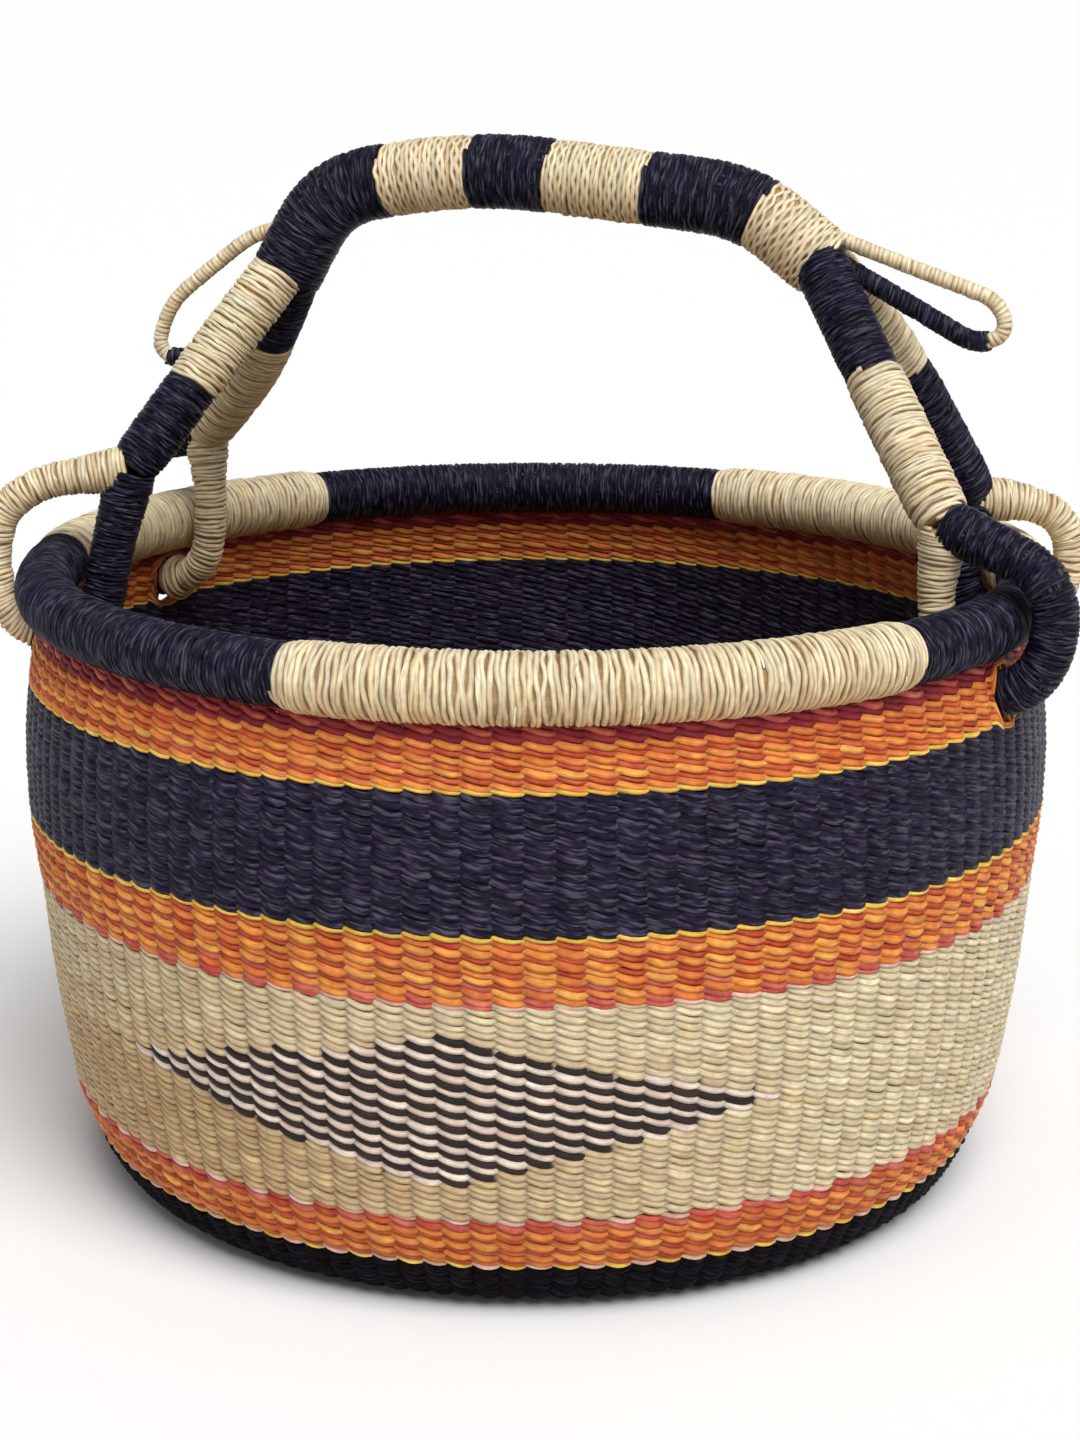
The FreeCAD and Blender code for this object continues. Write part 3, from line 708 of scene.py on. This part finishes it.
def rounded_route(corners):
    """Straight runs between corner points, joined by tangent arcs and sampled evenly."""
    corners = [np.array(corner, float) for corner in corners]
    points = [corners[0]]
    for before, corner, after in zip(corners, corners[1:], corners[2:]):
        into, out = unit(corner - before), unit(after - corner)
        setback = BEND_SHARE * min(np.linalg.norm(corner - before), np.linalg.norm(after - corner))
        half_turn = math.acos(np.clip(into @ out, -1, 1)) / 2
        radius = setback / math.tan(half_turn)
        to_middle = unit(out - into)
        centre = corner + to_middle * radius / math.cos(half_turn)
        start = corner - into * setback
        for share in np.linspace(0, 1, 13):
            angle = 2 * half_turn * share
            points.append(centre + (start - centre) * math.cos(angle) + into * radius * math.sin(angle))
    points.append(corners[-1])
    return even_samples(np.array(points))


def even_samples(points):
    """The same line with samples a small step apart."""
    length = np.concatenate([[0], np.cumsum(np.linalg.norm(np.diff(points, axis=0), axis=1))])
    count = max(int(length[-1] / STEP), 4)
    places = np.linspace(0, length[-1], count + 1)
    return np.stack([np.interp(places, length, axis) for axis in points.T], axis=1)


def softened(points, spread):
    """The line with its bends eased, and its two ends kept."""
    reach = int(3 * spread)
    weights = np.exp(-0.5 * (np.arange(-reach, reach + 1) / spread) ** 2)
    weights /= weights.sum()
    before = 2 * points[0] - points[reach:0:-1]
    after = 2 * points[-1] - points[-2:-reach - 2:-1]
    padded = np.vstack([before, points, after])
    return np.stack([np.convolve(axis, weights, "valid") for axis in padded.T], axis=1)


class Line:
    """A bundle's middle line with a pair of side directions that don't twist."""

    def __init__(self, points):
        self.points = points
        self.along = np.concatenate([[0], np.cumsum(np.linalg.norm(np.diff(points, axis=0), axis=1))])
        self.length = self.along[-1]
        self.ahead = unit(np.gradient(points, axis=0))
        side = unit(np.cross(self.ahead[0], [0.3, 0.2, 1.0]))
        sides = [side]
        for direction in self.ahead[1:]:
            side = unit(side - (side @ direction) * direction)
            sides.append(side)
        self.side = np.array(sides)
        self.other = np.cross(self.ahead, self.side)

    def at(self, along):
        """Point and two side directions at distances along the line, which runs straight on past its ends."""
        inside = np.clip(along, 0, self.length)
        point, side, other, ahead = (
            np.stack([np.interp(inside, self.along, axis) for axis in column.T], axis=-1)
            for column in (self.points, self.side, self.other, self.ahead))
        return point + ahead * (along - inside)[..., None], unit(side), unit(other)


WRAP_STEP = 1.9         # distance between the samples of a wound strand
WANDER_LENGTH = 2.6     # how quickly a wound strand wanders from side to side
# Gaps on each turn of a pitted wrap. The half sets the gaps of the next turn between them.
PITS = 11.5
# Share of red, green and blue that the undersides lose: painted shade that leaves the tops pale and the
# undersides tan.
PAINTED_UNDERSIDE_SHADE = np.array([0.14, 0.32, 0.50])
# Painted shade: the layer under the strands is darker than their grass, and shows in the gaps.
UNDERLAY_PAINTED_SHADE = np.array([0.52, 0.40, 0.28])       # how dark the layer under the strands is


def wrap(rng, line, start, end, radius, grass, pitch, half_width, half_thick, wiggle=0.25, pitted=0.0,
         starts=1, rounding=0.0, end_taper=0.0, strays=0.0, flares=()):
    """A strand wound closely round a bundle from one distance along it to another.

    pitted makes neighbouring turns part and meet, starts winds several strands side by side,
    rounding lowers the wrap at its two ends, end_taper draws in its last few millimetres,
    strays is the number of loose fibres on each millimetre, and each flare is a place where the
    bundle is thicker, as (distance along it, share of the radius added, how far it reaches).
    """
    turns = max(int(round((end - start) / (pitch * starts))), 2)
    lead = (end - start) / turns
    samples = max(int(2 * math.pi * radius / WRAP_STEP), 12)
    wave = WANDER_LENGTH / WRAP_STEP
    count = turns * samples
    step = np.arange(count + 1) / samples

    def reach_at(along):
        edge = np.clip(np.minimum(along - start, end - along), 0, None)
        before_end = np.clip(end - along, 0, None)
        swell = sum(amount * np.exp(-((along - place) / reach) ** 2) for place, amount, reach in flares)
        return radius * (1 + swell - rounding * np.exp(-edge / 3.2) - end_taper * np.exp(-before_end / 3.5))

    groups = []
    for first in range(starts):
        angle = 2 * math.pi * (step + first / starts)
        wander = wiggle * pitch * (0.75 * smooth_noise(rng, (count + 1,), wave)
                                   + 0.5 * smooth_noise(rng, (count + 1,), 5 * wave))
        meet = pitted * pitch * np.sin(PITS * angle) * (1 + 0.4 * smooth_noise(rng, (count + 1,), 4 * wave))
        along = start + lead * step + wander + meet
        height = 0.16 * half_thick * smooth_noise(rng, (count + 1,), 2 * wave)
        distance = reach_at(along) - half_thick + height
        point, side, other = line.at(along)
        outward = np.cos(angle)[:, None] * side + np.sin(angle)[:, None] * other
        centres = point + outward * distance[:, None]
        width = half_width * (1 + 0.10 * smooth_noise(rng, (count + 1,), 2 * wave))
        tints = strand_colours(rng, grass, (count + 1,), 5 * wave)
        # Painted shade: the wrap turns darker and tanner where it faces down.
        below = np.clip(0.35 - outward[:, 2], 0, 1.35)[:, None] / 1.35
        tints = tints * (1 - PAINTED_UNDERSIDE_SHADE * below)
        groups.append(strand(centres[None], outward[None], width[None],
                             np.full((1, count + 1), half_thick), tints[None], closed=False,
                             runs=max(turns // 4, 1)))
    groups.append(underlay(rng, line, start, end, reach_at, half_thick, grass))
    if strays:
        groups.append(loose_fibres(rng, line, start, end, reach_at, grass, int(strays * (end - start)) + 1))
    return groups


def underlay(rng, line, start, end, reach_at, half_thick, grass):
    """The lower layer of wrapping, darkened with painted shade, which shows as the dark bottom of the gaps.
    """
    count = max(int((end - start) / 1.5), 3)
    along = np.linspace(start + 0.5, end - 0.5, count + 1)
    point, side, _ = line.at(along)
    reach = (reach_at(along) - 1.2 * half_thick)[None]
    # Painted shade: the underlay is a darker copy of the strand's grass.
    tints = UNDERLAY_PAINTED_SHADE * strand_colours(rng, grass, (count + 1,), 3.0)
    return strand(point[None], side[None], reach, reach, tints[None], closed=False, sides=18)


FIBRE_SAMPLES = 14
FIBRE_HALF_WIDTH = 0.42


def loose_fibres(rng, line, start, end, reach_at, grass, count):
    """Thin fibres that lie aslant over the wrap, with their ends tucked in."""
    share = np.linspace(0, 1, FIBRE_SAMPLES)[None, :]
    begin = rng.uniform(start + 2, end - 2, (count, 1))
    along = np.clip(begin + rng.uniform(-2.6, 2.6, (count, 1)) * (share - 0.5), start + 0.4, end - 0.4)
    angle = rng.uniform(0, 2 * math.pi, (count, 1)) + rng.uniform(0.6, 1.9, (count, 1)) * share
    distance = reach_at(along) - 0.75 + 0.70 * np.sqrt(np.sin(math.pi * share))
    point, side, other = line.at(along)
    outward = np.cos(angle)[..., None] * side + np.sin(angle)[..., None] * other
    centres = point + outward * distance[..., None]
    tints = np.stack([1.1 * strand_colours(rng, grass, (FIBRE_SAMPLES,), 6.0) for _ in range(count)])
    width = np.full((count, FIBRE_SAMPLES), FIBRE_HALF_WIDTH) * rng.uniform(0.6, 1.3, (count, 1))
    return strand(centres, outward, width, 0.6 * width, tints, closed=False, sides=5)


WRAP_STYLES = {
    "natural": dict(grass="cream", pitch=1.85, half_width=1.02, half_thick=0.85, wiggle=0.22, strays=0.12),
    "navy": dict(grass="wrap_navy", pitch=1.5, half_width=0.86, half_thick=0.62, wiggle=0.28, strays=0.6),
}
WRAP_MATERIAL = {"natural": NATURAL, "navy": NAVY}
WRAP_SLOT = {"natural": "natural_wrap", "navy": "navy_wrap"}


def wrapped(name, node, colour, line, start, end, radius, body, seed, **changes):
    """A wrapped stretch of a bundle as one piece that stands for a CAD node."""
    style = dict(WRAP_STYLES[colour], **changes)
    groups = wrap(np.random.default_rng(seed), line, start, end, radius, **style)
    add_piece(name, groups, WRAP_MATERIAL[colour], body, WRAP_SLOT[colour], node)


# ---------------- rim

# Where each wrap begins, in degrees from +X.
RIM_WRAPS = {
    "rim_natural_front": 258.7, "rim_navy_right": 326.6, "rim_natural_right": 12.0,
    "rim_navy_back": 79.2, "rim_natural_left": 135.8, "rim_navy_left": 188.9,
}
RIM_SWELL = {"natural": 1.06, "navy": 0.95}
RIM_ROUNDING = {"natural": 0.17, "navy": 0.0}
RIM_PITCH = {"natural": 2.15, "navy": 1.6}


def rim_line():
    """The rim's middle line, once round and a little more, from +X."""
    theta = np.radians(np.arange(0, 765, 0.25))
    points = np.stack([RIM_RADIUS * np.cos(theta), RIM_RADIUS * np.sin(theta),
                       np.full_like(theta, RIM_HEIGHT)], axis=1)
    return Line(points)


RIM_LINE = rim_line()
rim_nodes = list(RIM_WRAPS)
for number, node in enumerate(rim_nodes):
    begin = RIM_WRAPS[node]
    finish = RIM_WRAPS[rim_nodes[(number + 1) % len(rim_nodes)]]
    finish += 360 * (finish < begin)
    colour = "natural" if "natural" in node else "navy"
    pitch = RIM_PITCH[colour]
    wrapped(node.replace("rim_", "rim_wrap_"), node, colour, RIM_LINE, math.radians(begin) * RIM_RADIUS,
            math.radians(finish) * RIM_RADIUS, RIM_TUBE * RIM_SWELL[colour], "basket", 40 + number,
            rounding=RIM_ROUNDING[colour], pitch=pitch, half_width=0.55 * pitch, half_thick=0.42 * pitch)

# ---------------- grip, legs and loops

HANDLE_OFFSET = 8.0     # how far behind the middle the grip's plane stands
GRIP_RADIUS = 14.6
GRIP_SOFTENING = 4.0
LEG_RADIUS = 11.0
EAR_NATURAL_RADIUS = 3.1
EAR_NAVY_RADIUS = 4.1


def in_handle_plane(points):
    """Points given as (along, above the rim) in the upright plane of the grip."""
    return [(along, HANDLE_OFFSET, RIM_HEIGHT + above) for along, above in points]


GRIP_ROUTE = in_handle_plane([(-107, 116), (-88, 150), (-25, 160), (83, 148.5), (112.5, 125)])
# Wraps from the left, with their lengths; the last one takes what is left.
GRIP_WRAPS = [("navy_left", 61.0), ("natural_left", 36.5), ("navy_middle", 31.0),
              ("natural_middle", 40.0), ("navy_right", 44.5), ("natural_right", None)]

grip_line = Line(softened(rounded_route(GRIP_ROUTE), GRIP_SOFTENING))
reached = 0.0
for number, (part, length) in enumerate(GRIP_WRAPS):
    finish = reached + length if length else grip_line.length
    colour = part.split("_")[0]
    extra = dict(pitted=0.18, rounding=0.05, wiggle=0.12) if colour == "natural" else {}
    wrapped(f"grip_{part}", f"grip_wrap_{part}", colour, grip_line, reached, finish, GRIP_RADIUS,
            "handle", 60 + number, **extra)
    reached = finish

# The first two corners of each leg's middle line; the third is the top of its loop.
LEG_STARTS = {
    "front_left": [(-103, 3, 364), (-130, -16, 325)],
    "back_left": [(-103, 13, 360), (-128, 34, 318)],
    "front_right": [(109, 5, 371), (136, -14, 326)],
    "back_right": [(108, 11, 370), (140, 34, 326)],
}
# Colour of the upper wrap, where it ends, and colour of the lower wrap.
LEG_WRAPS = {
    "front_left": ("natural", 66.0, "navy"),
    "back_left": ("navy", 42.0, "natural"),
    "front_right": ("navy", 56.0, "natural"),
    "back_right": ("natural", 63.0, "navy"),
}
# The top of each loop, and then its way round the rim tube, as (outward from the rim's line, above it).
LOOP_TOPS = {
    "front_left": (-34, 42), "back_left": (-22, 42), "front_right": (-21, 36), "back_right": (-17, 27),
}
LOOP_OVER_TOP = {
    "front_left": [(2, 37), (19, 26), (23.5, 6)],
    "back_left": [(2, 37), (19, 26), (23.5, 6)],
    "front_right": [(2, 28), (19, 21), (25, 5)],
    "back_right": [(2, 26), (19, 20), (25, 5)],
}
LOOP_UNDER_RIM = [(20.5, -14.5), (9, -25.5), (-8, -25.5), (-20.5, -14.5), (-24, 6)]
LEG_END_TRIM = 5.0      # how far from the leg's end the loop's two prongs begin
LOOP_SPLIT = 0.56       # share of the loop's length where its colour changes
# Length of each leg that the grip's wrap hides.
LEG_HIDDEN = {"front_left": 9.0, "back_left": 8.0, "front_right": 4.0, "back_right": 4.0}
LEG_SWELL = {"natural": 1.03, "navy": 0.98}
LEG_TAPER = 0.20        # share of the radius that a leg's foot is drawn in by
PRONG_ROOT = 4.0        # length of each prong that is hidden in the foot of its leg
# How a prong thickens towards the foot of its leg: share of its radius, and how far that reaches.
FOOT_FLARE = {"natural": (0.34, 14.0), "navy": (0.12, 14.0)}
# An inner prong spreads against the inside of the wall: outward from the rim's line, and by how much.
WALL_FLARE_OUT = -3.4
WALL_FLARE = {"natural": (0.46, 3.4), "navy": (0.16, 3.4)}


def at_rim(corner, outward, above):
    """A point in the upright plane of one loop, outward from the rim's line and above it."""
    angle = math.radians(LOOP_ANGLES[corner])
    radius = RIM_RADIUS + outward
    return radius * math.cos(angle), radius * math.sin(angle), RIM_HEIGHT + above


LEG_SOFTENING = 4.0
LOOP_SOFTENING = 2.5
EAR_SOFTENING = 2.0


def leg_and_loop(corner, seed):
    """Both wraps of a leg, and the outer and inner prong of the loop at its foot."""
    route = LEG_STARTS[corner] + [at_rim(corner, *LOOP_TOPS[corner])]
    line = Line(softened(rounded_route(route), LEG_SOFTENING))
    upper, upper_end, lower = LEG_WRAPS[corner]
    stretches = ((upper, LEG_HIDDEN[corner], upper_end, 0.0), (lower, upper_end, line.length, LEG_TAPER))
    for number, (colour, start, end, taper) in enumerate(stretches):
        wrapped(f"{corner}_leg_{colour}", f"{corner}_leg_wrap_{colour}", colour, line, start, end,
                LEG_RADIUS * LEG_SWELL[colour], "handle", seed + number, rounding=0.04, end_taper=taper)

    top = np.array(LOOP_TOPS[corner], float)
    outline = [np.array(point, float) for point in LOOP_OVER_TOP[corner] + LOOP_UNDER_RIM]
    first = top + unit(outline[0] - top) * LEG_END_TRIM
    last = top + unit(outline[-1] - top) * LEG_END_TRIM
    route = [at_rim(corner, *point) for point in [first] + outline + [last]]
    loop = Line(softened(rounded_route(route), LOOP_SOFTENING))
    split = loop.length * LOOP_SPLIT
    off_wall = np.abs(np.hypot(*loop.points[:, :2].T) - RIM_RADIUS - WALL_FLARE_OUT)
    at_wall = loop.along[np.argmin(np.where(loop.points[:, 2] < RIM_HEIGHT, off_wall, np.inf))]
    outer, inner = PRONG_COLOURS[corner]
    prongs = (("outer", outer, -PRONG_ROOT, split, [(0.0, *FOOT_FLARE[outer])]),
              ("inner", inner, split, loop.length + PRONG_ROOT,
               [(loop.length, *FOOT_FLARE[inner]), (at_wall, *WALL_FLARE[inner])]))
    for number, (side, colour, start, end, flares) in enumerate(prongs):
        wrapped(f"{corner}_{side}_prong", f"{corner}_{side}_prong_{colour}", colour, loop, start, end,
                PRONG_RADIUS[colour], "handle", seed + 2 + number, flares=flares)


for number, corner in enumerate(LOOP_ANGLES):
    leg_and_loop(corner, 80 + 10 * number)

# The middle line of each ear, and where its natural wrap ends.
EARS = {
    "left": ([(-104, 136), (-122, 131), (-158, 103), (-165, 82), (-150, 79), (-110, 122)], 88.0),
    "right": ([(108, 139), (132, 130), (180, 113), (185, 100), (172, 96), (113, 129)], 95.0),
}
for number, (side, (points, natural_end)) in enumerate(EARS.items()):
    line = Line(softened(rounded_route(in_handle_plane(points)), EAR_SOFTENING))
    wrapped(f"{side}_ear_natural", f"{side}_ear_wrap_natural", "natural", line, 0.0, natural_end,
            EAR_NATURAL_RADIUS, "handle", 130 + number, pitch=1.9, half_width=1.25, half_thick=0.45,
            wiggle=0.15, strays=0)
    wrapped(f"{side}_ear_navy", f"{side}_ear_wrap_navy", "navy", line, natural_end, line.length,
            EAR_NAVY_RADIUS, "handle", 140 + number, pitch=1.9, half_width=1.2, half_thick=0.55,
            starts=3, wiggle=0.15, strays=0)

# ---------------- floor, light and camera

FLOOR_SIZE = 300.0      # metres
FLOOR_HEIGHT = -0.0005  # metres, just under the base
SKY_STRENGTH = 0.36
HORIZON_STRENGTH = 0.95
HORIZON_REACH = 0.26    # how far above the horizon the white fades, as the sine of its elevation


def plain_floor():
    """A pale floor that reaches the horizon."""
    bpy.ops.mesh.primitive_plane_add(size=FLOOR_SIZE, location=(0, 0, FLOOR_HEIGHT))
    floor = bpy.context.object
    floor.name = "floor"
    material = bpy.data.materials.new("pale_floor")
    material.use_nodes = True
    shader = material.node_tree.nodes["Principled BSDF"]
    shader.inputs["Base Color"].default_value = (0.8, 0.8, 0.8, 1)
    shader.inputs["Roughness"].default_value = 0.9
    shader.inputs["Specular IOR Level"].default_value = 0.1
    floor.data.materials.append(material)


def looking(direction):
    """Rotation that turns a light's or a camera's -Z towards a direction."""
    return Vector(direction).to_track_quat("-Z", "Y").to_euler()


def soft_sun(name, direction, strength, spread):
    """A broad, distant studio light that shines along a direction."""
    lamp = bpy.data.lights.new(name, "SUN")
    lamp.energy = strength
    lamp.angle = math.radians(spread)
    light = bpy.data.objects.new(name, lamp)
    light.rotation_euler = looking(direction)
    bpy.context.scene.collection.objects.link(light)


def sky_light():
    """A dim even light from above that turns white at the horizon, where it meets the floor."""
    world = bpy.data.worlds.new("studio")
    world.use_nodes = True
    tree = world.node_tree
    direction = tree.nodes.new("ShaderNodeTexCoord")
    parts = tree.nodes.new("ShaderNodeSeparateXYZ")
    tree.links.new(direction.outputs["Generated"], parts.inputs["Vector"])
    strength = mapped(tree, parts.outputs["Z"], 0.0, HORIZON_REACH, HORIZON_STRENGTH, SKY_STRENGTH)
    strength.node.interpolation_type = "SMOOTHSTEP"
    background = tree.nodes["Background"]
    background.inputs["Color"].default_value = (1, 1, 1, 1)
    tree.links.new(strength, background.inputs["Strength"])
    bpy.context.scene.world = world


def photo_camera():
    """The camera at the photograph's viewing angle."""
    lens = bpy.data.cameras.new("camera")
    lens.sensor_fit = "VERTICAL"
    lens.sensor_height = 36.0
    lens.lens = 70.6
    lens.shift_x = 0.0028
    camera = bpy.data.objects.new("camera", lens)
    camera.location = (0.288, -1.082, 0.4706)
    camera.rotation_euler = looking((-0.249, 0.935, -0.253))
    bpy.context.scene.collection.objects.link(camera)
    bpy.context.scene.camera = camera


plain_floor()
soft_sun("key", (-0.5, 0.66, -1.2), 3.4, 40)
sky_light()
bpy.context.scene.view_settings.view_transform = "Standard"
photo_camera()
